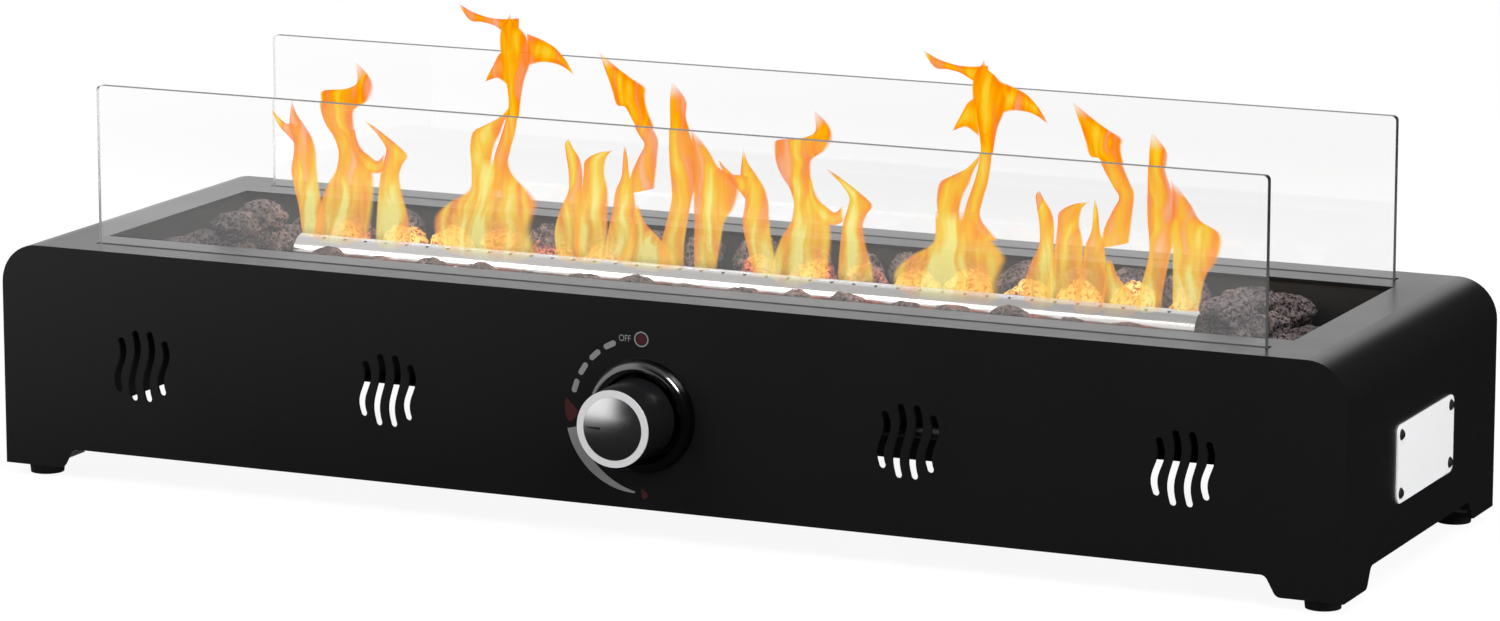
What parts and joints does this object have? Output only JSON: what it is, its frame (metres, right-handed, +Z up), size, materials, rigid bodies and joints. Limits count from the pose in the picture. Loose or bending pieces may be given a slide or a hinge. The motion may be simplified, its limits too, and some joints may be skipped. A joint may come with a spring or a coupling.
{
  "type": "tabletop gas fire pit",
  "caption": "Low rectangular tabletop gas fire pit with a tube burner in a bed of lava rock, two standing glass wind guards, a vented casing and a push-and-turn gas knob.",
  "frame": {"origin": "on the floor plane, under the middle of the bounding box of the whole object, knob and gas inlet included", "axes": "+X along the length to the right as seen from the knob side, -Y towards the knob side, +Z up"},
  "size_m": [0.7122, 0.274, 0.1985],
  "materials": {
    "powder_black": "satin black powder coat",
    "tray_black": "matt black heat-resistant paint",
    "stainless": "bright drawn stainless tube, slightly heat tinted",
    "galvanised": "zinc-plated sheet",
    "zinc_screw": "bright zinc plating",
    "plate_silver": "bare satin aluminium plate",
    "black_screw": "black oxide",
    "tempered_glass": "clear polished tempered glass with ground edges",
    "black_rubber": "matt moulded rubber",
    "brass": "machined brass",
    "dark_chrome": "polished black chrome",
    "bright_chrome": "polished chrome",
    "knob_black": "fine-grained black thermoset plastic",
    "knob_silver": "circular-brushed aluminium",
    "pointer_black": "black paint fill",
    "igniter_black": "moulded black nylon",
    "ceramic_white": "glazed ceramic",
    "lead_red": "silicone insulation",
    "spring_steel": "oiled spring steel",
    "lava_rock": "porous grey-brown volcanic rock",
    "dial_grey": "grey screen print",
    "dial_red": "dark red screen print"
  },
  "bodies": {
    "root": {"top_wrap": "powder_black", "front_panel": "powder_black", "rear_panel": "powder_black", "foot_brackets": "galvanised", "feet": "black_rubber", "foot_screws": "zinc_screw", "foot_nuts": "zinc_screw", "end_plate": "plate_silver", "plate_screws": "black_screw", "burner_tray": "tray_black", "tray_nuts": "zinc_screw", "burner_tube": "stainless", "burner_caps": "stainless", "burner_brackets": "galvanised", "tray_screws": "zinc_screw", "mixing_tube": "stainless", "jet_holder": "brass", "gas_jet": "brass", "gas_pipe": "galvanised", "heat_shield": "galvanised", "shield_nuts": "zinc_screw", "front_glass_channel": "powder_black", "rear_glass_channel": "powder_black", "glass_pads": "black_rubber", "bezel": "dark_chrome", "valve_nut": "zinc_screw", "valve_bonnet": "brass", "bonnet_screws": "zinc_screw", "valve_body": "brass", "valve_spring": "spring_steel", "supply_pipe": "galvanised", "pipe_nuts": "brass", "inlet_fitting": "brass", "inlet_locknut": "brass", "piezo_igniter": "igniter_black", "ignition_lead": "lead_red", "electrode_ceramic": "ceramic_white", "electrode_rod": "stainless", "electrode_bracket": "galvanised", "rocks_left": "lava_rock", "rocks_right": "lava_rock", "rocks_front": "lava_rock", "rocks_rear": "lava_rock"},
    "knob": {"knob_stem": "zinc_screw", "knob_body": "knob_black", "knob_ring": "knob_silver", "knob_dome": "bright_chrome", "pointer_mark": "pointer_black"},
    "pusher": {"thrust_washer": "zinc_screw"},
    "plug": {"valve_plug": "brass"},
    "front_pane": {"front_glass": "tempered_glass"},
    "rear_pane": {"rear_glass": "tempered_glass"}
  },
  "joints": [
    {"name": "knob_push", "type": "slide", "parent": "root", "child": "pusher", "axis": [0, 1, 0], "range_m": [0, 0.0035], "stiffness_N_per_m": 700, "springref_m": -0.003, "deforming": ["valve_spring"]},
    {"name": "knob_turn", "type": "hinge", "parent": "pusher", "child": "knob", "pos_m": [0, -0.12, 0.062], "axis": [0, -1, 0], "range_deg": [-90, 90]},
    {"name": "plug_turn", "type": "hinge", "parent": "root", "child": "plug", "pos_m": [0, -0.077, 0.062], "axis": [0, -1, 0], "range_deg": [-90, 90]},
    {"name": "front_glass_lift", "type": "slide", "parent": "root", "child": "front_pane", "axis": [0, 0, 1], "range_m": [0, 0.03]},
    {"name": "rear_glass_lift", "type": "slide", "parent": "root", "child": "rear_pane", "axis": [0, 0, 1], "range_m": [0, 0.03]}
  ],
  "couplings": [
    {"joint": "plug_turn", "follows": "knob_turn", "ratio": 1}
  ]
}
